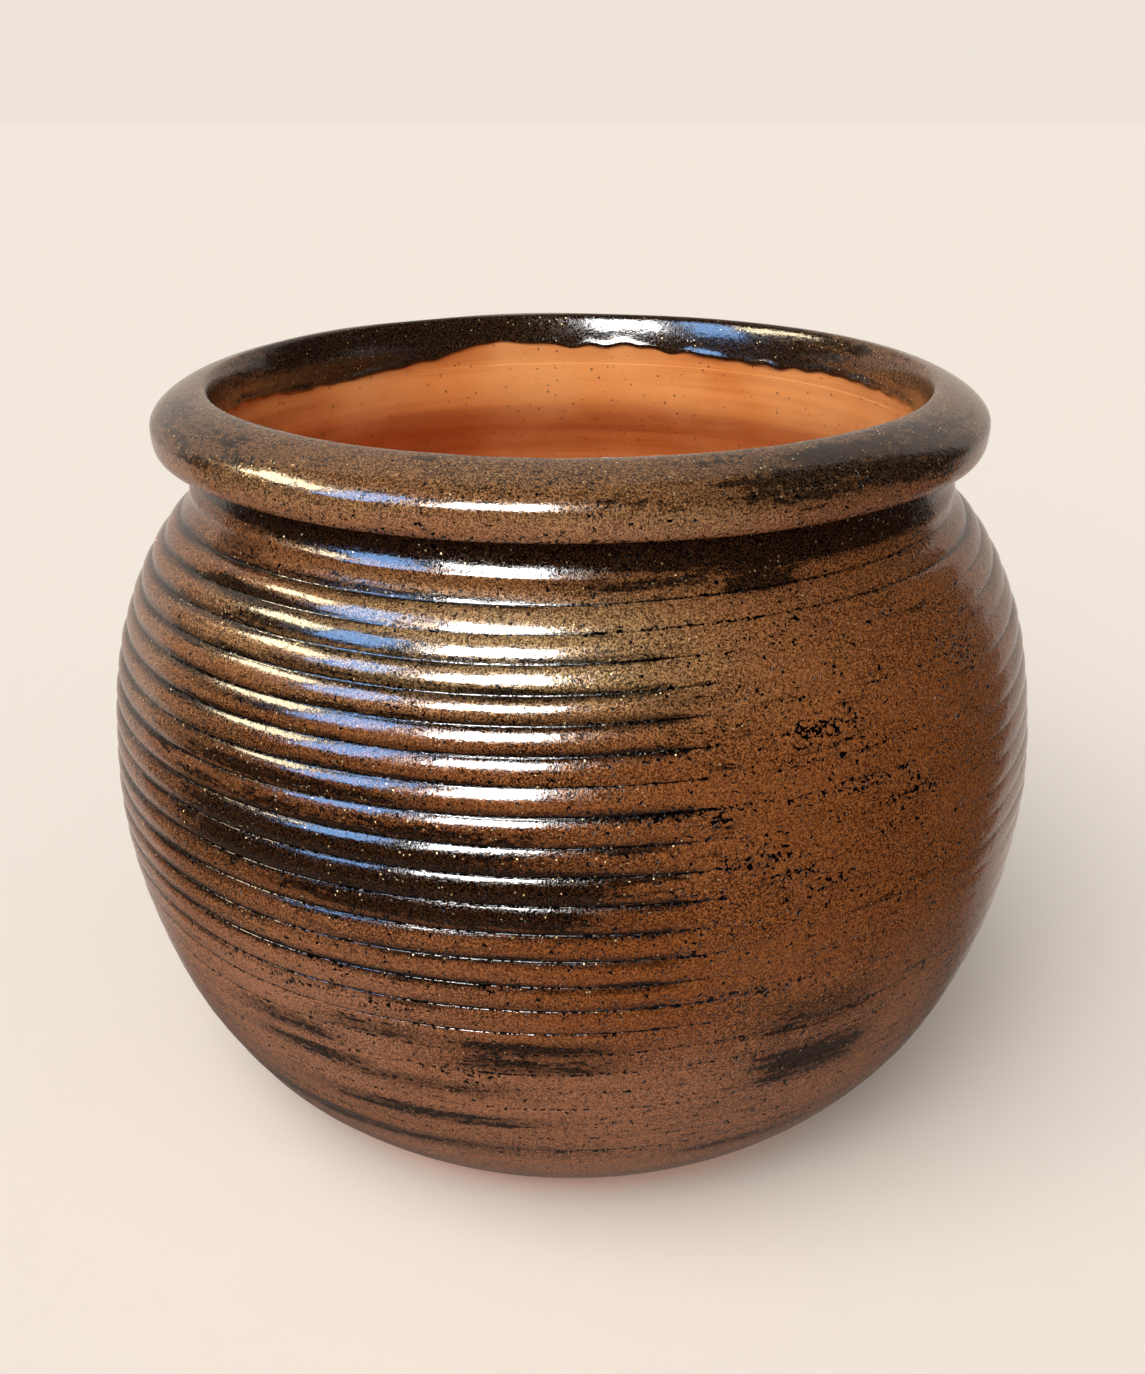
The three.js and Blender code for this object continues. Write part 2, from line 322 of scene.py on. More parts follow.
def unwrap(climb):
    """Texture places of the corners of a grid's cells: two strips, one for each half of the pot."""
    column = np.arange(COLUMNS)
    half = COLUMNS // 2
    width, tall = 1 - 2 * TEXTURE_MARGIN, 0.5 - 2 * TEXTURE_MARGIN
    near = (column % half) / half * width + TEXTURE_MARGIN
    far = near + width / half
    base = (column // half) * 0.5 + TEXTURE_MARGIN
    low = base + tall * climb[:-1, None]
    high = base + tall * climb[1:, None]
    across_near, across_far = np.broadcast_to(near, low.shape), np.broadcast_to(far, low.shape)
    corners = [(across_near, low), (across_far, low), (across_far, high), (across_near, high)]
    return np.stack([np.stack(corner, -1) for corner in corners], 2).reshape(-1, 4, 2)


def make_mesh(name, places, index, attributes, hidden=0):
    """A smooth closed mesh from a grid of vertex numbers, without the cells that have shrunk to nothing.

    The last rows, as many as are hidden, get little room in the texture."""
    near_low, far_low = index[:-1, :-1].ravel(), index[:-1, 1:].ravel()
    near_high, far_high = index[1:, :-1].ravel(), index[1:, 1:].ravel()
    shut_near, shut_far = near_low == near_high, far_low == far_high
    whole = ~shut_near & ~shut_far
    only_near, only_far = shut_near & ~shut_far, shut_far & ~shut_near
    quads = np.stack([near_low, far_low, far_high, near_high], 1)[whole]
    near_shut = np.stack([near_low, far_low, far_high], 1)[only_near]
    far_shut = np.stack([near_low, far_low, near_high], 1)[only_far]
    corners = np.concatenate([quads.ravel(), near_shut.ravel(), far_shut.ravel()])
    used, corners = np.unique(corners, return_inverse=True)
    split = len(quads) * 4
    faces = [*corners[:split].reshape(-1, 4).tolist(), *corners[split:].reshape(-1, 3).tolist()]
    mesh = bpy.data.meshes.new(name)
    mesh.from_pydata(places[used].tolist(), [], faces)
    mesh.shade_smooth()
    shown = len(index) - hidden
    hidden_climb = np.linspace(SHOWN_TEXTURE, 1, hidden + 1)[1:]
    climb = np.concatenate([np.linspace(0, SHOWN_TEXTURE, shown), hidden_climb])
    spread = unwrap(climb)
    texture = [spread[whole], spread[only_near][:, :3], spread[only_far][:, [0, 1, 3]]]
    layer = mesh.uv_layers.new(name="OFBake")
    layer.data.foreach_set("uv", np.concatenate([part.ravel() for part in texture]).astype(np.float32))
    for title, values in attributes.items():
        layer = mesh.attributes.new(title, "FLOAT", "POINT")
        layer.data.foreach_set("value", values[used].astype(np.float32))
    piece = bpy.data.objects.new(name, mesh)
    bpy.context.scene.collection.objects.link(piece)
    return piece


def stand(radius, height, turn):
    """Points of a piece. The rim is a little off the middle and rises to the right."""
    x = radius * np.sin(turn)
    y = -radius * np.cos(turn)
    share = smooth(height - RIM_BOTTOM, -RIM_BLEND, RIM_BLEND)
    lifted = height + RIM_TILT * (x - RIM_RADIUS) * share
    return np.stack([x + RIM_SHIFT * share, y + 0 * share, lifted], -1).reshape(-1, 3)


def ring_index(rows, first=0):
    """Vertex numbers of plain rings, with the first column again at the end."""
    index = first + np.arange(rows * COLUMNS).reshape(rows, COLUMNS)
    return np.concatenate([index, index[:, :1]], axis=1)


def shell(name, radius, height, attributes=None, hidden=0):
    """Closed piece from rings that follow one another round its section, against the clock."""
    turn = np.broadcast_to(turns[:-1], radius.shape)
    index = ring_index(len(radius))
    index = np.concatenate([index, index[:1]])
    values = {title: layer.ravel() for title, layer in (attributes or {}).items()}
    return make_mesh(name, stand(radius, height, turn), index, values, hidden)


# Patches of the glaze, seen in the photograph and, round the back, of like size.
# A place is its azimuth, height, half width in degrees, half height and strength.
DARK_POOLS_AND_RIM_SHADE = (
    (-25, 0.163, 29, 0.017, 1.0),
    (-12, 0.157, 17, 0.012, 1.2),
    (-30, 0.192, 20, 0.005, 0.55),
    (-42, 0.2325, 12, 0.0035, 1.0),
    (-50, 0.243, 7, 0.005, 0.7),
    (8, 0.2462, 11, 0.0026, 0.85),
    (24, 0.244, 6, 0.0035, 1.0),
    (-25, 0.2405, 24, 0.0016, 0.9),
    (-32, 0.228, 15, 0.0028, 1.0),
    (-26, 0.2185, 15, 0.0020, 0.9),
    (-38, 0.205, 14, 0.0026, 0.8),
    (-32, 0.184, 22, 0.0040, 0.9),
    (12, 0.2155, 5, 0.0020, 0.7),
    # The next two: black glaze under the rim, darkened further as painted shade of the rim's overhang.
    (36, 0.2515, 26, 0.0048, 1.1),
    (-8, 0.2525, 44, 0.0032, 1.2),
    (27.5, 0.103, 9, 0.010, 0.75),
    (28, 0.081, 9, 0.011, 0.95),
    (-34, 0.092, 9, 0.005, 0.8),
    (-31, 0.082, 10, 0.004, 0.85),
    (-22, 0.101, 8, 0.004, 0.75),
    (-4, 0.100, 11, 0.0045, 0.85),
    (-4, 0.0925, 11, 0.004, 0.85),
    (-18, 0.0795, 14, 0.004, 0.75),
    (-18, 0.063, 18, 0.004, 0.85),
    (-27, 0.045, 24, 0.0045, 0.85),
    (23, 0.040, 12, 0.004, 0.7),
    (64, 0.110, 14, 0.007, 0.4),
    (95, 0.150, 22, 0.014, 0.8),
    (118, 0.205, 16, 0.010, 0.7),
    (140, 0.120, 25, 0.016, 0.9),
    (165, 0.070, 16, 0.009, 0.7),
    (-170, 0.190, 22, 0.012, 0.8),
    (-150, 0.140, 20, 0.013, 0.8),
    (-122, 0.085, 18, 0.009, 0.6),
    (-100, 0.205, 16, 0.011, 0.7),
    (-88, 0.135, 15, 0.009, 0.6),
)
WARM_ZONES = (
    (4, 0.125, 11, 0.028, 1.0),
    (-42, 0.095, 9, 0.009, 0.9),
    (42, 0.185, 28, 0.040, 0.55),
    (42, 0.135, 26, 0.030, 0.6),
    (110, 0.090, 26, 0.020, 0.8),
    (-140, 0.075, 26, 0.022, 0.8),
    (170, 0.150, 24, 0.025, 0.7),
)
# Pale olive zones. The first three, at the front and on the left, also paint the broad sheen of the soft
# light on the glaze: a painted sheen over the glaze's own olive tone.
OLIVE_AND_SHEEN_ZONES = (
    (-10, 0.228, 22, 0.014, 1.0),
    (-42, 0.222, 14, 0.010, 0.5),
    (-55, 0.205, 12, 0.030, 0.3),
    (130, 0.215, 26, 0.014, 0.8),
    (-120, 0.180, 24, 0.014, 0.6),
)
# Rosy zones low on the body: the glaze's pinkish tone, brightened into a painted reflection of the pale
# floor, most of all low on the left.
ROSY_AND_FLOOR_REFLECTION_ZONES = (
    (-38, 0.088, 24, 0.034, 1.0),
    (2, 0.066, 40, 0.030, 0.75),
    (0, 0.026, 70, 0.024, 0.8),
    (-56, 0.160, 10, 0.060, 0.5),
    (120, 0.060, 40, 0.035, 0.8),
    (-150, 0.050, 50, 0.030, 0.8),
)
PITTED_ZONES = (
    (10, 0.182, 6, 0.0018, 1.0),
    (15, 0.1805, 2, 0.004, 1.0),
    (32, 0.183, 6, 0.002, 1.0),
    (27, 0.200, 4, 0.006, 0.9),
    (51, 0.210, 4, 0.006, 0.8),
    (39, 0.176, 3, 0.005, 0.9),
    (19, 0.165, 3, 0.003, 1.0),
    (23, 0.159, 3, 0.003, 1.0),
    (27, 0.153, 3, 0.003, 1.0),
    (11.5, 0.1365, 1.5, 0.004, 0.9),
    (21.5, 0.1185, 9, 0.0018, 1.0),
    (-27, 0.112, 8, 0.0018, 0.9),
    (-26, 0.1235, 3, 0.002, 0.8),
    (-10.5, 0.086, 3, 0.0025, 0.8),
    (1.5, 0.046, 6, 0.0016, 1.0),
    (53.5, 0.246, 1.5, 0.003, 1.0),
    (105, 0.180, 20, 0.010, 0.8),
    (150, 0.100, 24, 0.008, 0.8),
    (-130, 0.115, 22, 0.008, 0.8),
    (-165, 0.215, 18, 0.008, 0.6),
)
# Under the rim the glaze turns black: partly black glaze pooled in the crease, partly painted shade of the
# rim's overhang.
CREASE_POOL_AND_SHADE = (0.2495, 0.2535)  # heights over which the glaze turns black under the rim
CREASE_POOL_AND_SHADE_DARKNESS = 1.2


def wall_glaze():
    """Coat of glaze on the wall. Its rows follow the spiral, so that every groove is crisp."""
    low_arc, high_arc = body.arc_at_height(BARE_FOOT), body.length
    low_count, high_count = ((arc - shoulder_arc) / RIDGE_PITCH for arc in (low_arc, high_arc))
    spare = GROOVES // 2 + 1
    whole = np.arange(math.floor(low_count) - spare, math.ceil(high_count) + spare)
    row_counts = (whole[:, None] + np.array(ROWS_IN_RIDGE)).ravel()[:, None]
    turn = turns[None, :-1]
    arc = shoulder_arc + (row_counts + GROOVES * turn / (2 * math.pi)) * RIDGE_PITCH
    arc = arc + WANDER * field(turn, arc, 3, WANDER_WAVE, (1, 5))
    below, above = arc <= low_arc, arc >= high_arc
    arc = np.clip(arc, low_arc, high_arc)
    height = body.at(arc)[1]
    depth = relief(turn, height)
    share = row_counts % 1 + 0 * turn
    proud = RIDGE_DEPTH * depth * (ridge_profile(share) - CREST_SHARE)
    band = np.clip((arc - shoulder_arc) / (body.length - shoulder_arc), 0, 1)
    past_crest = (arc - shoulder_arc) / ROLL_REACH - ROLL_PLACE
    roll = np.exp(-past_crest * past_crest) * smooth(band, *ROLL_FROM)
    proud += NECK_ROLL * (BAND_SWELL * band * (1 - band) + roll)
    dented = smooth(height, *DENTED_FROM) * (1 - smooth(height, *DENTED_TO))
    proud += DENTS * field(turn, arc, 7, DENT_WAVE, (2, 11)) * dented
    radius, height = body.at(arc, -proud)

    number = np.arange(arc.size).reshape(arc.shape)
    number[below] = np.broadcast_to(number[0], arc.shape)[below]
    number[above] = np.broadcast_to(number[-1], arc.shape)[above]
    climb_in_turn = GROOVES * len(ROWS_IN_RIDGE)
    seam = np.roll(number[:, 0], -climb_in_turn)
    seam[-climb_in_turn:] = number[-1, 0]
    outside = np.concatenate([number, seam[:, None]], axis=1)

    back_arc = np.linspace(high_arc, low_arc, HIDDEN_ROWS)[:, None] + 0 * turn
    ends = smooth(back_arc - low_arc, 0, END_REACH) * smooth(high_arc - back_arc, 0, END_REACH)
    back_radius, back_height = body.at(back_arc, GLAZE + RIDGE_DEPTH / 2 * ends)
    index = np.concatenate([outside, ring_index(HIDDEN_ROWS, arc.size), outside[:1]])
    places = np.concatenate([stand(radius, height, turn), stand(back_radius, back_height, turn)])

    groove = np.minimum(share, 1 - share) * RIDGE_PITCH / MILLIMETRE
    # Black under the rim: pooled glaze, and painted shade of the rim's overhang.
    crease_pool_and_shade = CREASE_POOL_AND_SHADE_DARKNESS * smooth(height, *CREASE_POOL_AND_SHADE)
    skin = {
        "groove": groove,
        "relief": depth,
        "dark": np.maximum(spots(turn, height, DARK_POOLS_AND_RIM_SHADE), crease_pool_and_shade),
        "warm": spots(turn, height, WARM_ZONES),
        # pale: olive tone, and at the front shoulder a painted sheen
        "pale": spots(turn, height, OLIVE_AND_SHEEN_ZONES),
        # rosy: pinkish tone, with a painted reflection of the pale floor
        "rosy": spots(turn, height, ROSY_AND_FLOOR_REFLECTION_ZONES),
        "pitted": spots(turn, height, PITTED_ZONES),
    }
    hidden = np.zeros(back_arc.size)
    attributes = {title: np.concatenate([values.ravel(), hidden]) for title, values in skin.items()}
    return make_mesh("glazed_wall", places, index, attributes, HIDDEN_ROWS)


# Lower edge of the glaze inside the mouth: height over the table at azimuths in degrees
MOUTH_EDGE = (
    (-180, 0.2698),
    (-174, 0.2712),
    (-166, 0.2726),
    (-161, 0.2718),
    (-157, 0.2694),
    (-153, 0.2669),
    (-144, 0.2642),
    (-135, 0.2631),
    (-129, 0.2618),
    (-120, 0.2631),
    (-109, 0.2654),
    (-95, 0.2674),
    (-60, 0.2690),
    (-20, 0.2670),
    (30, 0.2700),
    (70, 0.2680),
    (98, 0.2680),
    (110, 0.2672),
    (124, 0.2680),
    (138, 0.2665),
    (154, 0.2677),
    (164, 0.2690),
    (168, 0.2710),
    (174, 0.2695),
    (180, 0.2698),
)


def mouth_edge(turn):
    """Height of the glaze's wavy lower edge inside the mouth."""
    azimuths, heights = zip(*MOUTH_EDGE)
    level = np.interp(np.degrees(turn), azimuths, heights)
    return level + EDGE_WAVES * field(turn, 0 * turn, 11, 1, (9, 60), 24)


# Patches of the rim. A place is its azimuth, share of the section from the neck, half width in degrees,
# half height and strength.
RIM_POOLS = (
    (42, 0.36, 26, 0.24, 0.52),
    (-60, 0.45, 24, 0.14, 0.3),
    (165, 0.8, 40, 0.2, 0.8),
    (-150, 0.75, 40, 0.25, 0.8),
)
RIM_PALE = (
    (-30, 0.3, 22, 0.1, 0.5),
    (5, 0.26, 18, 0.08, 0.6),
)
RIM_DRIPS = (2.5, 9.0)  # millimetres back from the glaze's edge, over which the black drips end
FRONT_DRIPS = 0.55  # their strength there
BACK_DRIPS_FROM = (95, 130)  # azimuths
RIM_TOP = (0.24, 0.34)  # shares of the section where the darker top begins
TOP_DARKNESS = 0.42
TOP_PALENESS = 0.35
LOWER_ROSE = 0.45
WARM_UP_TO = (0.20, 0.30)
WARM_CHANGE = 0.2
WARM_WAVE = 0.5
PITS_AT = 0.17
PITS_REACH = 0.03
PITS_STRENGTH = 0.9
EVEN_DISTANCE = 5.0  # millimetres to the next groove, given where there is none


def rim_glaze():
    """Coat of glaze over the rim, from the neck to a thick, uneven edge inside the mouth."""
    turn = turns[None, :-1]
    crest_arc = rim.arcs[np.argmax(rim.points[:, 1])]
    falling = rim.arcs >= crest_arc
    edge_arc = np.interp(-mouth_edge(turn), -rim.points[falling, 1], rim.arcs[falling])
    share = np.linspace(0, 1, RIM_ROWS)[:, None]
    share = share + ROW_CROWDING * np.sin(2 * math.pi * share)
    arc = share * edge_arc
    proud = DENTS * field(turn, arc, 17, RIM_DENT_WAVE, (2, 12)) * smooth(arc, *RIM_DENTED_FROM)
    back = edge_arc - arc
    thick = 1 + BEAD_CHANGE * field(turn, 0 * turn, 19, 1, (6, 30), 20)
    bead = BEAD * np.exp(-((back / BEAD_REACH) ** 2)) * thick
    to_edge = 1 - np.clip(back / EDGE_ROUNDING, 0, 1)
    rounding = GLAZE * (1 - np.sqrt(1 - to_edge**2))
    radius, height = rim.at(arc, rounding - proud - bead)
    under_arc = np.linspace(1, 0, HIDDEN_ROWS)[:, None] * edge_arc
    under_radius, under_height = rim.at(under_arc, COAT)
    radius = np.concatenate([radius, under_radius])
    height = np.concatenate([np.minimum(height, HEIGHT), under_height])
    depth = np.concatenate([back, 0 * under_arc]) / MILLIMETRE
    climb = np.concatenate([arc, under_arc]) / rim.length
    back_side = smooth(np.abs(np.degrees(turn)), *BACK_DRIPS_FROM)
    drips = (1 - smooth(depth, *RIM_DRIPS)) * (FRONT_DRIPS + (1 - FRONT_DRIPS) * back_side)
    warm = (1 - smooth(climb, *WARM_UP_TO)) * (1 - WARM_CHANGE * field(turn, climb, 23, WARM_WAVE, (1, 9)))
    top = smooth(climb, *RIM_TOP)
    attributes = {
        "groove": np.full(radius.shape, EVEN_DISTANCE),
        "relief": np.zeros(radius.shape),
        "dark": np.maximum(drips, TOP_DARKNESS * top + spots(turn, climb, RIM_POOLS)),
        "warm": np.clip(warm, 0, 1),
        "pale": np.maximum(TOP_PALENESS * top, spots(turn, climb, RIM_PALE)),
        "rosy": LOWER_ROSE * (1 - top),
        "pitted": PITS_STRENGTH * np.exp(-(((climb - PITS_AT) / PITS_REACH) ** 2)),
    }
    return shell("glazed_rim", radius, height, attributes, HIDDEN_ROWS)


def thrown_wall():
    """Wall of clay. The inside shows the soft rings that the fingers left."""
    turn = turns[None, :-1]
    low = body.arc_at_height(FLOOR_LEVEL + SEAM, COAT)
    outside_arc = np.linspace(low, body.length, HIDDEN_ROWS)[:, None] + 0 * turn
    outside = body.at(outside_arc, COAT + RIDGE_DEPTH / 2)

    arcs = body.arcs[body.arcs > 0]
    foot_arc = body.arc_at_height(0, COAT)

    def thickness(arc):
        return COAT + WALL + HEEL * (1 - smooth(arc - foot_arc, 0, HEEL_FADE))

    inside_height = body.at(arcs, thickness(arcs))[1]
    inside_low = np.interp(FLOOR_LEVEL + SEAM, inside_height, arcs)
    arc = np.linspace(body.length, inside_low, INSIDE_ROWS)[:, None] + 0 * turn
    spiral = 2 * math.pi * arc / FINGER_PITCH - turn
    mean, change = FINGER_PRESSURE
    pressure = mean + change * field(turn, arc, 29, FINGER_WAVE, (1, 5))
    rings = FINGER_RING * np.sin(spiral) * pressure
    strays = 2 * field(turn, arc, 31, FINE_FINGER_WAVE, (1, 4))
    rings += FINE_FINGER_RING * np.sin(FINE_FINGER_RINGS * spiral + strays)
    calm = smooth(body.length - arc, 0, UNDER_RIM) * smooth(arc - inside_low, 0, OVER_FLOOR)
    inside = body.at(arc, thickness(arc) + rings * calm)
    seat = RIM_BOTTOM + COAT
    corners = [(NECK_RADIUS - COAT, seat), (THROAT_CLAY, seat), (THROAT_CLAY, seat - HAIR)]
    top = [(np.full((1, COLUMNS), radius), np.full((1, COLUMNS), height)) for radius, height in corners]
    parts = [outside, *top, inside]
    radius, height = (np.concatenate([part[axis] for part in parts]) for axis in (0, 1))
    return shell("clay_wall", radius, height)


def rolled_rim():
    """Clay under the glaze of the rim, bare below the glaze's edge inside the mouth."""
    turn = turns[None, :-1]
    base = RIM_BOTTOM + COAT
    arc = np.linspace(0, rim.length, RIM_ROWS)[1:, None] + 0 * turn
    radius, height = rim.at(arc, COAT)
    start_radius = np.array([[THROAT_CLAY], [NECK_RADIUS - COAT]]) + 0 * turn
    radius = np.concatenate([start_radius, radius])
    height = np.concatenate([np.full((2, COLUMNS), base), np.maximum(height, base + HAIR)])
    return shell("clay_rim", radius, height)


def rounded(points, reach, steps=5):
    """A closed section with its corners rounded."""
    result = []
    points = np.array(points, float)
    for index, corner in enumerate(points):
        before = points[index - 1] - corner
        after = points[(index + 1) % len(points)] - corner
        cut = min(reach, 0.45 * np.linalg.norm(before), 0.45 * np.linalg.norm(after))
        start = corner + before / np.linalg.norm(before) * cut
        end = corner + after / np.linalg.norm(after) * cut
        for t in np.linspace(0, 1, steps):
            result.append((1 - t) ** 2 * start + 2 * t * (1 - t) * corner + t * t * end)
    return np.array(result)


def base_disc():
    """Floor of clay: a foot ring, the shallow recess inside it and one drain hole."""
    foot_arc = body.arc_at_height(0, COAT)
    floor_arc = body.arc_at_height(FLOOR_LEVEL, COAT)
    side = np.stack(body.at(np.linspace(foot_arc, floor_arc, HEEL_ROWS), COAT), 1)
    ring_inside = side[0][0] - FOOT_RING
    section = rounded(
        [
            (DRAIN_RADIUS, FLOOR_LEVEL),
            (DRAIN_RADIUS, RECESS),
            (ring_inside - RECESS, RECESS),
            (ring_inside, 0),
            *side,
        ],
        BASE_ROUNDING,
    )
    loop = np.concatenate([section, section[:1]])
    steps = np.linalg.norm(np.diff(loop, axis=0), axis=1)
    flat = []
    for start, end, step in zip(loop[:-1], loop[1:], steps):
        pieces = max(1, round(step / BASE_STEP))
        for piece in range(pieces):
            flat.append(start + (end - start) * piece / pieces)
    flat = np.array(flat)
    turn = turns[None, :-1]
    radius = flat[:, :1] + 0 * turn
    height = flat[:, 1:] + 0 * turn
    ringed = smooth(radius, *FLOOR_RINGS_FROM) * (1 - smooth(radius, *FLOOR_RINGS_TO))
    ringed = ringed * smooth(height - FLOOR_LEVEL, *FLOOR_SKIN)
    height = height - FLOOR_RING * ringed * (1 + np.cos(2 * math.pi * radius / FLOOR_PITCH + turn))
    return shell("clay_base", radius, height)


class Nodes:
    """Short calls that add shader nodes and give back their outputs."""

    def __init__(self, name):
        self.material = bpy.data.materials.new(name)
        self.material.use_nodes = True
        self.tree = self.material.node_tree
        self.tree.nodes.clear()
        self.place = self.add("ShaderNodeTexCoord").outputs["Object"]

    def add(self, kind, inputs=None, **settings):
        node = self.tree.nodes.new(kind)
        for title, value in settings.items():
            setattr(node, title, value)
        for title, value in (inputs or {}).items():
            self.set(node.inputs[title], value)
        return node

    def set(self, socket, value):
        if isinstance(value, bpy.types.NodeSocket):
            self.tree.links.new(value, socket)
        else:
            socket.default_value = value

    def math(self, operation, first, second):
        node = self.add("ShaderNodeMath", operation=operation)
        for socket, value in zip(node.inputs, (first, second)):
            self.set(socket, value)
        return node.outputs[0]

    def joined(self, operation, values):
        total = values[0]
        for value in values[1:]:
            total = self.math(operation, total, value)
        return total

    def plus(self, *values):
        return self.joined("ADD", values)

    def times(self, *values):
        return self.joined("MULTIPLY", values)

    def greatest(self, *values):
        return self.joined("MAXIMUM", values)

    def swing(self, pattern, reach):
        """A pattern about its middle, reach times as strong."""
        return self.times(self.plus(pattern, -0.5), reach)

    def step(self, value, low, high, start=0.0, end=1.0):
        """Start below low, end above high and a smooth step between them."""
        inputs = {"Value": value, "From Min": low, "From Max": high, "To Min": start, "To Max": end}
        node = self.add("ShaderNodeMapRange", inputs, interpolation_type="SMOOTHSTEP")
        return node.outputs["Result"]

    def attribute(self, name):
        return self.add("ShaderNodeAttribute", attribute_name=name).outputs["Fac"]

    def shifted(self, offset, scale=(1.0, 1.0, 1.0)):
        """Object coordinates, moved and stretched."""
        inputs = {"Vector": self.place, "Location": offset, "Scale": scale}
        return self.add("ShaderNodeMapping", inputs).outputs["Vector"]

    def noise(self, place, scale, detail, roughness, distortion=0.0):
        inputs = {
            "Vector": place,
            "Scale": scale,
            "Detail": detail,
            "Roughness": roughness,
            "Distortion": distortion,
        }
        return self.add("ShaderNodeTexNoise", inputs).outputs["Fac"]

    def cells(self, place, scale):
        """Distance to the nearest of many scattered points, in sizes of a cell."""
        inputs = {"Vector": place, "Scale": scale}
        return self.add("ShaderNodeTexVoronoi", inputs).outputs["Distance"]

    def mix(self, share, first, second):
        node = self.add("ShaderNodeMix", data_type="RGBA")
        self.set(node.inputs["Factor"], share)
        for title, value in (("A", first), ("B", second)):
            socket = next(s for s in node.inputs if s.name == title and s.type == "RGBA")
            self.set(socket, (*value, 1.0) if isinstance(value, tuple) and len(value) == 3 else value)
        return next(s for s in node.outputs if s.type == "RGBA")

    def bump(self, height, distance):
        inputs = {"Height": height, "Distance": distance, "Strength": 1.0}
        return self.add("ShaderNodeBump", inputs).outputs["Normal"]

    def finish(self, **sockets):
        shader = self.add("ShaderNodeBsdfPrincipled")
        for title, value in sockets.items():
            self.set(shader.inputs[title.replace("_", " ")], value)
        output = self.add("ShaderNodeOutputMaterial")
        self.tree.links.new(shader.outputs["BSDF"], output.inputs["Surface"])
        return self.material


# Colours of the glaze, as linear light
DEEP_BROWN = (0.022, 0.0052, 0.0013)
COPPER = (0.098, 0.029, 0.0085)
ORANGE_BROWN = (0.085, 0.021, 0.0035)
OLIVE = (0.085, 0.050, 0.020)
ROSE = (0.230, 0.094, 0.050)
ROSE_WORM = (0.42, 0.20, 0.115)
POOL_BLACK = (0.0022, 0.0012, 0.0010)
WORM_TAN = (0.29, 0.104, 0.032)
WORM_ORANGE = (0.26, 0.074, 0.013)
WORM_OLIVE = (0.46, 0.29, 0.130)
GOLD = (0.78, 0.58, 0.30)
PIT_BLACK = (0.001, 0.0006, 0.0005)

# Patterns of the glaze: patches to a metre, and how many times wider than high they are
DRIFT = (18, 3.2)
STREAK = (30, 11.0)
MOTTLE = (95, 1.8)
PIT_GROUPS = (110, 3.0)
RAGGED = (330, 1.6)
PITS = (620, 1.2)
SPECKS = 420
WORMS = 1750

# Where each pattern starts and ends, in its own values or in millimetres from a groove
WORM_EDGES = (0.42, 0.62)
POOL_EDGES = (0.56, 0.84)
STREAK_EDGES = (0.68, 0.84)
SPECK_EDGES = (0.10, 0.17)
PIT_EDGES = (0.66, 0.69)
VALLEY_EDGES = (0.70, 1.60)
SHADE_EDGES = (1.0, 4.3)
LINE_EDGES = (0.12, 0.40)
DOT_EDGES = (0.35, 0.75)
LINE_BREAKS = (0.36, 0.50)
SPECK_PATCHES = (0.48, 0.56)
COPPER_PATCHES = (0.38, 0.62)
OLIVE_PATCHES = (0.3, 0.6)
ROSE_PATCHES = (0.3, 0.7)

# Shares of the full ridge depth over which what follows the grooves sets in
VALLEY_RIDGES = (0.25, 0.8)
SHADE_RIDGES = (0.25, 0.9)
LINE_RIDGES = (0.1, 0.5)
DOT_RIDGES = (0.04, 0.2)

# How strong each is
WARM_SHARE = 0.85
OLIVE_SHARE = (0.6, 0.95)  # between the patches and in them
ROSE_SHARE = (0.55, 1.0)
CRYSTAL_TINT = 0.8
POOL_RAGGEDNESS = (1.3, 0.8)  # of the streaks and of the ragged pattern
GULLY_RAGGEDNESS = (-8.0, -3.0)
DOTTED_PITS = 0.13
PLACED_PITS = 0.13
GROUPED_PITS = 0.22
BROKEN_LINE = 0.2
SPECKS_IN_POOLS = 0.9
SPECKS_ELSEWHERE = 0.4
STREAK_DARKNESS = 0.75
SHADE_DARKNESS = 0.74
HAZE_SHARE = 0.85  # of a pool's strength, left where its edge is soft
MOST_HAZE = 0.8
WORMS_IN_POOLS = 0.13
WORM_SHINE = 0.12
SPECK_SHINE = 0.85
GROUND_ROUGHNESS = 0.42
WORM_ROUGHNESS = 0.34
GLASS_ROUGHNESS = 0.02
CRYSTAL_BUMP = 0.00022
COAT_BUMP = 0.00022


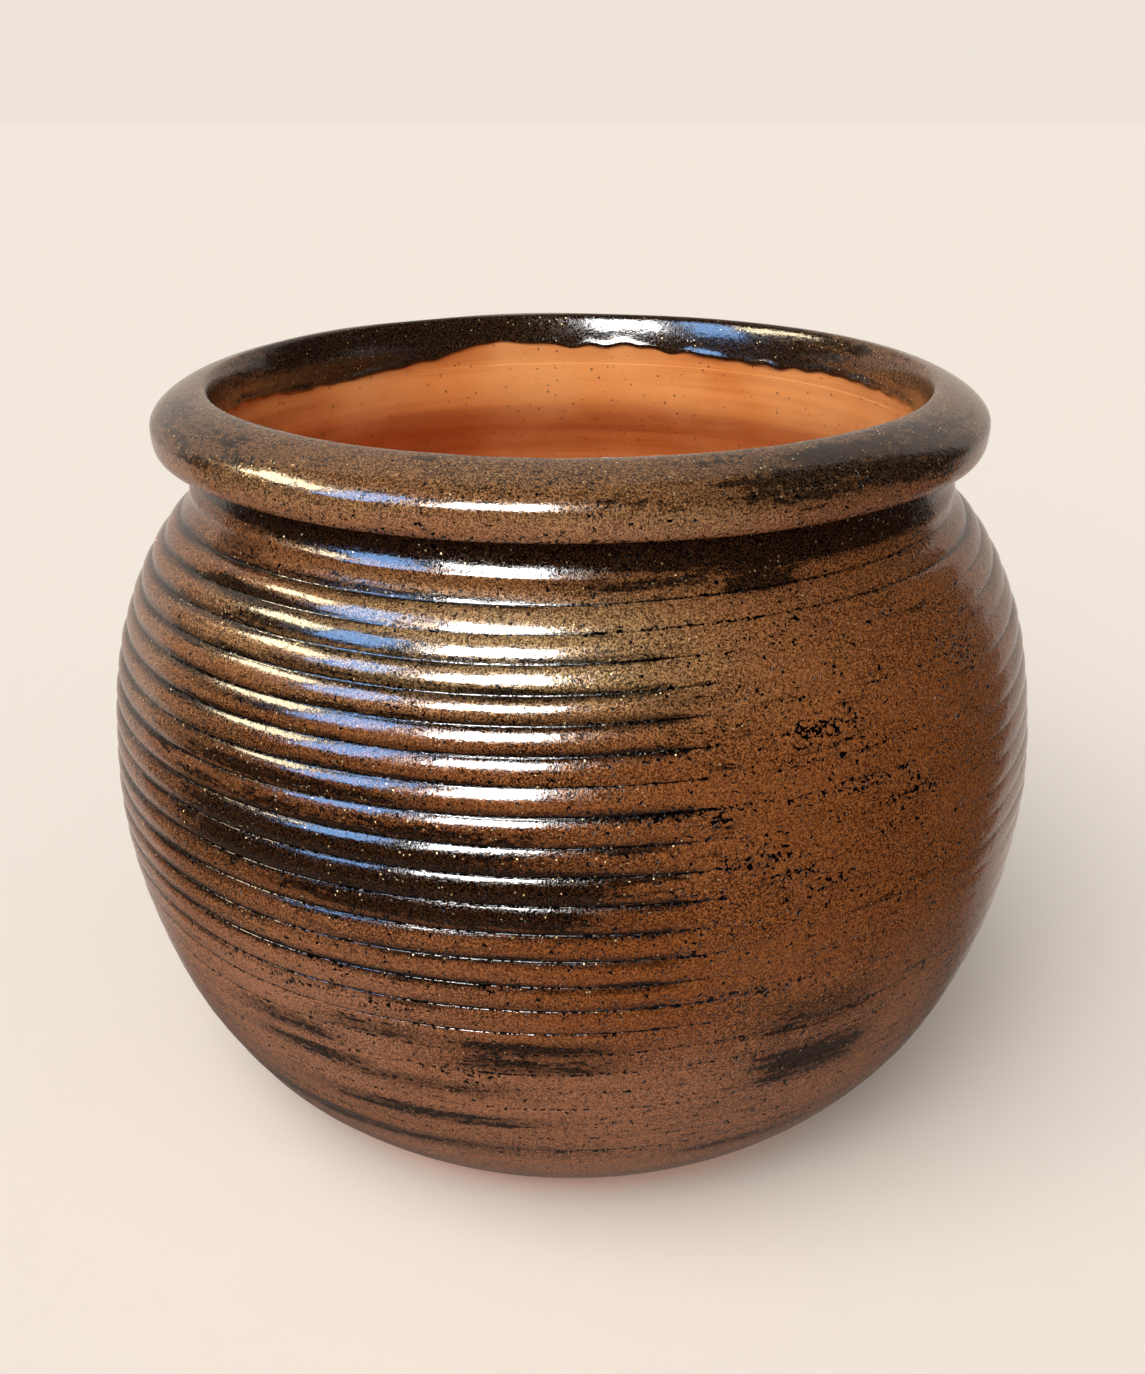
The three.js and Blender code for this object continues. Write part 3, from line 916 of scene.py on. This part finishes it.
def glaze_material():
    """Glass over a brown ground, with a labyrinth of tan crystals, black pools, gold specks and pits. Some
    of its colour is painted light: shade under the rim and on the ridges' flanks, sheen at the front
    shoulder and the pale floor's reflection low down.
    """
    n = Nodes("bronze_glaze")
    groove, relief_share = n.attribute("groove"), n.attribute("relief")
    dark, warm = n.attribute("dark"), n.attribute("warm")
    pale, pitted, rosy = n.attribute("pale"), n.attribute("pitted"), n.attribute("rosy")

    def pattern(offset, size, detail, roughness, distortion=0.0):
        scale, flatness = size
        return n.noise(n.shifted(offset, (1, 1, flatness)), scale, detail, roughness, distortion)

    drift = pattern((0.3, 0.1, 0.2), DRIFT, 3, 0.6)
    mottle = pattern((1.7, 0.4, 0.9), MOTTLE, 3, 0.62)
    streak = pattern((0.7, 2.1, 0.3), STREAK, 4, 0.66)
    ragged = pattern((4.7, 1.1, 2.3), RAGGED, 3, 0.6)
    worms = n.step(pattern((5.2, 1.3, 0.8), (WORMS, 1), 0.3, 0.5, 1.2), *WORM_EDGES)

    # Brown ground and tan crystals, each in four colours
    ground = n.mix(n.step(drift, *COPPER_PATCHES), DEEP_BROWN, COPPER)
    ground = n.mix(n.times(warm, WARM_SHARE), ground, ORANGE_BROWN)
    # Olive ground: the glaze's own tone, and at the front shoulder a painted sheen.
    ground = n.mix(n.times(pale, n.step(mottle, *OLIVE_PATCHES, *OLIVE_SHARE)), ground, OLIVE)
    # Rose ground: a pinkish tone, which low on the body also paints the pale floor's reflection.
    ground = n.mix(n.times(rosy, n.step(drift, *ROSE_PATCHES, *ROSE_SHARE)), ground, ROSE)
    tan = n.mix(n.times(warm, CRYSTAL_TINT), WORM_TAN, WORM_ORANGE)
    # Olive crystals in the same zones, painted sheen included.
    tan = n.mix(pale, tan, WORM_OLIVE)
    # Rose crystals in the same zones, painted reflection included.
    tan = n.mix(n.times(rosy, CRYSTAL_TINT), tan, ROSE_WORM)

    # Black pools, streaks and grooves, and painted shade on the ridges' flanks towards each groove
    streaky, rough = POOL_RAGGEDNESS
    pool = n.step(n.plus(dark, n.swing(streak, streaky), n.swing(ragged, rough)), *POOL_EDGES)
    haze = n.math("MINIMUM", n.times(dark, HAZE_SHARE), MOST_HAZE)
    streaks = n.step(n.plus(streak, n.times(mottle, 0.25)), *STREAK_EDGES, 0.0, STREAK_DARKNESS)
    streaky, rough = GULLY_RAGGEDNESS
    gully = n.plus(groove, n.swing(streak, streaky), n.swing(ragged, rough))
    valley = n.step(gully, *VALLEY_EDGES, 1.0, 0.0)
    valley = n.times(valley, n.step(relief_share, *VALLEY_RIDGES))
    # Painted shade: each ridge darkens towards its groove.
    shade = n.step(groove, *SHADE_EDGES, SHADE_DARKNESS, 0.0)
    shade = n.times(shade, n.step(relief_share, *SHADE_RIDGES))
    darkness = n.greatest(pool, streaks, valley, shade, haze)

    # Golden specks
    specks = n.step(n.cells(n.shifted((4.4, 3.3, 1.2)), SPECKS), *SPECK_EDGES, 1.0, 0.0)
    specks = n.times(specks, n.step(mottle, *SPECK_PATCHES))

    # Pits, in groups and along the grooves, and the black line down each groove
    groups = pattern((8.8, 0.2, 4.1), PIT_GROUPS, 2, 0.6)
    grain = pattern((0.6, 0.4, 9.1), PITS, 1.0, 0.55, 0.6)
    dotted = n.step(groove, *DOT_EDGES, DOTTED_PITS, 0.0)
    dotted = n.times(dotted, n.step(relief_share, *DOT_RIDGES))
    placed = n.times(pitted, PLACED_PITS)
    pits = n.step(n.plus(grain, placed, n.swing(groups, GROUPED_PITS), dotted), *PIT_EDGES)
    line = n.times(n.step(groove, *LINE_EDGES, 1.0, 0.0), n.step(relief_share, *LINE_RIDGES))
    line = n.times(line, n.step(ragged, *LINE_BREAKS, BROKEN_LINE, 1.0))
    pits = n.greatest(pits, line)

    shown_worms = n.times(worms, n.step(darkness, 0.15, 1.0, 1.0, WORMS_IN_POOLS))
    colour = n.mix(darkness, ground, POOL_BLACK)
    colour = n.mix(shown_worms, colour, tan)
    bright = n.step(darkness, 0.1, 0.6, SPECKS_ELSEWHERE, SPECKS_IN_POOLS)
    colour = n.mix(n.times(specks, bright), colour, GOLD)
    colour = n.mix(pits, colour, PIT_BLACK)
    shine = n.greatest(n.times(shown_worms, WORM_SHINE), n.times(specks, SPECK_SHINE))
    shine = n.times(shine, n.plus(1.0, n.times(pits, -1.0)))

    crystals = n.plus(n.times(worms, 0.30), n.times(pits, -1.2), n.times(mottle, 0.4))
    skin = n.plus(n.times(worms, 0.05), n.times(pits, -0.9), n.times(mottle, 0.9), n.times(ragged, 0.35))
    return n.finish(
        Base_Color=colour,
        Metallic=shine,
        Roughness=n.step(worms, 0.0, 1.0, GROUND_ROUGHNESS, WORM_ROUGHNESS),
        Normal=n.bump(crystals, CRYSTAL_BUMP),
        Coat_Weight=1.0,
        Coat_Roughness=GLASS_ROUGHNESS,
        Coat_IOR=1.5,
        Coat_Normal=n.bump(skin, COAT_BUMP),
        Specular_IOR_Level=0.0,
    )


# Colours of the clay, as linear light
CLAY_ORANGE = (0.80, 0.29, 0.075)
CLAY_PALE = (0.90, 0.44, 0.16)
CLAY_DEEP = (0.55, 0.16, 0.035)
PORE_BROWN = (0.12, 0.035, 0.012)

# Patterns of the clay: patches to a metre
BANDS = 5
BAND_FLATNESS = 20
CLOUDS = 14
PORES = 300
DARK_GRAINS = 420
GRIT = 1300
PORE_EDGES = (0.14, 0.2)
PORE_DARKNESS = 0.7
CLAY_BUMP = 0.00025


def clay_material():
    """Bare fired clay with faint throwing bands, grain and a few open pores."""
    n = Nodes("terracotta")
    bands = n.noise(n.shifted((0.4, 1.2, 0.1), (1, 1, BAND_FLATNESS)), BANDS, 4, 0.62)
    cloud = n.noise(n.shifted((2.0, 0.7, 1.9)), CLOUDS, 3, 0.55)
    grit = n.noise(n.shifted((1.0, 4.0, 2.0)), GRIT, 2, 0.6)
    grains = n.noise(n.shifted((6.0, 2.0, 5.0)), DARK_GRAINS, 2, 0.6)
    colour = n.mix(n.step(bands, 0.34, 0.66), CLAY_DEEP, CLAY_ORANGE)
    colour = n.mix(n.step(cloud, 0.4, 0.7, 0.0, 0.6), colour, CLAY_PALE)
    colour = n.mix(n.step(grit, 0.3, 0.7, 0.16, 0.0), colour, CLAY_DEEP)
    colour = n.mix(n.step(grains, 0.66, 0.74, 0.0, 0.4), colour, CLAY_DEEP)
    pores = n.step(n.cells(n.shifted((3.0, 1.0, 7.0)), PORES), *PORE_EDGES, 1.0, 0.0)
    pores = n.times(pores, n.step(grains, 0.5, 0.56))
    colour = n.mix(n.times(pores, PORE_DARKNESS), colour, PORE_BROWN)
    fine = n.plus(n.times(grit, 0.35), n.times(bands, 1.2), n.times(pores, -1.2), n.times(grains, 0.3))
    return n.finish(
        Base_Color=colour,
        Roughness=n.step(grit, 0.3, 0.7, 0.78, 0.92),
        Normal=n.bump(fine, CLAY_BUMP),
        Specular_IOR_Level=0.3,
    )


def dress():
    """Makes the five pieces and puts each in the place of its node."""
    glaze, clay = glaze_material(), clay_material()
    made = (
        (wall_glaze(), "wall_glaze", glaze, "bronze_glaze"),
        (rim_glaze(), "rim_glaze", glaze, "bronze_glaze"),
        (thrown_wall(), "thrown_wall", clay, "terracotta"),
        (rolled_rim(), "rolled_rim", clay, "terracotta"),
        (base_disc(), "base_disc", clay, "terracotta"),
    )
    for piece, node, material, slot in made:
        piece.data.materials.append(material)
        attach(piece, "root")
        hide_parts(node)


# Studio
PALE_COLOUR = (0.860, 0.780, 0.697)  # the sheet that the pot stands on and in front of
FLOOR_REACH = 8.0
CAMERA_PLACE = (0.0, -0.6088, 0.4002)
CAMERA_TARGET = (0.0, 0.0, 0.15487)
CAMERA_LENS = 42.16
POT_MIDDLE = (0.0, 0.0, 0.15)
FLOOR_DROP = 0.0001  # keeps the sheet clear of the foot
LIGHT_COLOUR = (1.0, 0.995, 0.99)

# Windows that the glaze mirrors: azimuths and elevations in degrees, colour and strength
WINDOWS = {
    "window_white": ((-35, -7), (22, 48), LIGHT_COLOUR, 60),
    "window_blue": ((-68, -47), (18, 48), (0.27, 0.53, 1.0), 17),
    "window_gold": ((-102, -72), (30, 42), (1.0, 0.84, 0.55), 30),
}
CARD_DISTANCE = 1.9

# Soft lights
SUN_STRENGTH = 1.25
SUN_PLACE = (-45, 56)  # azimuth and elevation in degrees
SUN_SPREAD = 46
FRONT_STRENGTH = 1.75
FRONT_PLACE = (-14, 34)
FRONT_SPREAD = 50
FILL_STRENGTH = 0.28
FILL_SIDE = (-30, 42)  # where the soft light is strongest
FILL_LEAN = 0.95

# The room that the glaze mirrors
MIRRORED_COLOUR = (1.0, 0.86, 0.76)
PALE_SIDE = 184  # azimuth of the middle of the pale room behind the pot
PALE_HALF_WIDTH = 57
PALE_EDGE = 0.02  # softness
PALE_STRENGTH = 0.66
DIM_STRENGTH = 0.012  # the room behind the camera
NEAR_SHEET_STRENGTH = 0.12
NEAR_SHEET = (-0.62, -0.45)  # sines of the elevations between which the room gives way to the near sheet


def direction(azimuth, elevation):
    """Unit vector from the pot. Azimuth 0 is towards the camera and negative ones lie to its left."""
    a, e = math.radians(azimuth), math.radians(elevation)
    return np.array([math.sin(a) * math.cos(e), -math.cos(a) * math.cos(e), math.sin(e)])


def quad(name, corners, kind, colour, strength=None):
    """A lit or plain pane of the studio."""
    material = bpy.data.materials.new(name)
    material.use_nodes = True
    tree = material.node_tree
    tree.nodes.clear()
    output = tree.nodes.new("ShaderNodeOutputMaterial")
    shader = tree.nodes.new(kind)
    shader.inputs["Color"].default_value = (*colour, 1)
    if strength is not None:
        shader.inputs["Strength"].default_value = strength
    tree.links.new(shader.outputs[0], output.inputs["Surface"])
    mesh = bpy.data.meshes.new(name)
    mesh.from_pydata([tuple(corner) for corner in corners], [], [(0, 1, 2, 3)])
    mesh.materials.append(material)
    piece = bpy.data.objects.new(name, mesh)
    bpy.context.scene.collection.objects.link(piece)
    return piece


def window_card(name, azimuths, elevations, colour, strength):
    """A lit pane that only polished surfaces mirror."""
    (left, right), (low, high) = azimuths, elevations
    ends = ((left, low), (right, low), (right, high), (left, high))
    corners = [np.array(POT_MIDDLE) + CARD_DISTANCE * direction(*end) for end in ends]
    card = quad(name, corners, "ShaderNodeEmission", colour, strength)
    card.data.materials[0].cycles.emission_sampling = "NONE"
    card.visible_camera = False
    card.visible_diffuse = False
    card.visible_shadow = False
    card.visible_transmission = False


def sun(name, place, spread, strength):
    """A broad soft light from afar, which polished surfaces don't mirror."""
    lamp = bpy.data.objects.new(name, bpy.data.lights.new(name, "SUN"))
    lamp.data.angle = math.radians(spread)
    lamp.data.energy = strength
    lamp.data.color = LIGHT_COLOUR
    lamp.rotation_mode = "QUATERNION"
    lamp.rotation_quaternion = Vector(direction(*place)).to_track_quat("Z", "Y")
    lamp.visible_glossy = False
    bpy.context.scene.collection.objects.link(lamp)


def room():
    """What lies round the studio: soft light for all, and a pale back for the camera.

    Polished surfaces mirror a pale room behind the pot, a dark one in front and the near sheet below."""
    world = bpy.data.worlds.new("studio_room")
    bpy.context.scene.world = world
    world.use_nodes = True
    tree = world.node_tree
    tree.nodes.clear()

    def node(kind, inputs=None, **settings):
        made = tree.nodes.new(kind)
        for title, value in settings.items():
            setattr(made, title, value)
        for title, value in (inputs or {}).items():
            if isinstance(value, bpy.types.NodeSocket):
                tree.links.new(value, made.inputs[title])
            else:
                made.inputs[title].default_value = value
        return made

    def step(value, low, high, start, end):
        inputs = {"Value": value, "From Min": low, "From Max": high, "To Min": start, "To Max": end}
        return node("ShaderNodeMapRange", inputs, interpolation_type="SMOOTHSTEP").outputs["Result"]

    way = node("ShaderNodeTexCoord").outputs["Generated"]
    parts = node("ShaderNodeSeparateXYZ", {"Vector": way})
    level = node("ShaderNodeCombineXYZ", {"X": parts.outputs["X"], "Y": parts.outputs["Y"]})
    level = node("ShaderNodeVectorMath", {0: level.outputs[0]}, operation="NORMALIZE").outputs[0]
    toward = tuple(direction(PALE_SIDE, 0))
    aside = node("ShaderNodeVectorMath", {0: level, 1: toward}, operation="DOT_PRODUCT").outputs["Value"]
    edge = math.cos(math.radians(PALE_HALF_WIDTH))
    behind = step(aside, edge - PALE_EDGE, edge + PALE_EDGE, DIM_STRENGTH, PALE_STRENGTH)
    clear = step(parts.outputs["Z"], *NEAR_SHEET, 0.0, 1.0)
    behind = node("ShaderNodeMath", {0: behind, 1: clear}, operation="MULTIPLY").outputs[0]
    below = step(parts.outputs["Z"], *NEAR_SHEET, NEAR_SHEET_STRENGTH, 0.0)
    mirrored = node("ShaderNodeMath", {0: behind, 1: below}, operation="ADD").outputs[0]
    fill_side = tuple(direction(*FILL_SIDE))
    lean = node("ShaderNodeVectorMath", {0: way, 1: fill_side}, operation="DOT_PRODUCT").outputs["Value"]
    fill = node("ShaderNodeMath", {0: lean, 1: FILL_LEAN, 2: 1.0}, operation="MULTIPLY_ADD").outputs[0]
    fill = node("ShaderNodeMath", {0: fill, 1: FILL_STRENGTH}, operation="MULTIPLY").outputs[0]

    rays = node("ShaderNodeLightPath")
    shown = node("ShaderNodeBackground", {"Color": (*MIRRORED_COLOUR, 1), "Strength": mirrored})
    soft = node("ShaderNodeBackground", {"Color": (1.0, 1.0, 1.0, 1), "Strength": fill})
    backdrop = node("ShaderNodeBackground", {"Color": (*PALE_COLOUR, 1)})
    surface = soft.outputs[0]
    for ray, other in (("Is Glossy Ray", shown), ("Is Camera Ray", backdrop)):
        inputs = {0: rays.outputs[ray], 1: surface, 2: other.outputs[0]}
        surface = node("ShaderNodeMixShader", inputs).outputs[0]
    node("ShaderNodeOutputWorld", {"Surface": surface})


def studio():
    """The sheet under the pot, the windows, the lights and the camera."""
    reach = FLOOR_REACH
    corners = [(-reach, -reach, 0), (reach, -reach, 0), (reach, reach, 0), (-reach, reach, 0)]
    floor = quad("studio_floor", corners, "ShaderNodeBsdfDiffuse", PALE_COLOUR)
    floor.location.z = -FLOOR_DROP
    floor.visible_glossy = False
    for name, pane in WINDOWS.items():
        window_card(name, *pane)
    sun("window_light", SUN_PLACE, SUN_SPREAD, SUN_STRENGTH)
    sun("front_light", FRONT_PLACE, FRONT_SPREAD, FRONT_STRENGTH)

    camera = bpy.data.objects.new("camera", bpy.data.cameras.new("camera"))
    camera.data.lens = CAMERA_LENS
    camera.location = CAMERA_PLACE
    aim = Vector(CAMERA_TARGET) - Vector(CAMERA_PLACE)
    camera.rotation_mode = "QUATERNION"
    camera.rotation_quaternion = aim.to_track_quat("-Z", "Y")
    bpy.context.scene.collection.objects.link(camera)
    bpy.context.scene.camera = camera


dress()
room()
studio()
bpy.context.scene.view_settings.view_transform = "Standard"
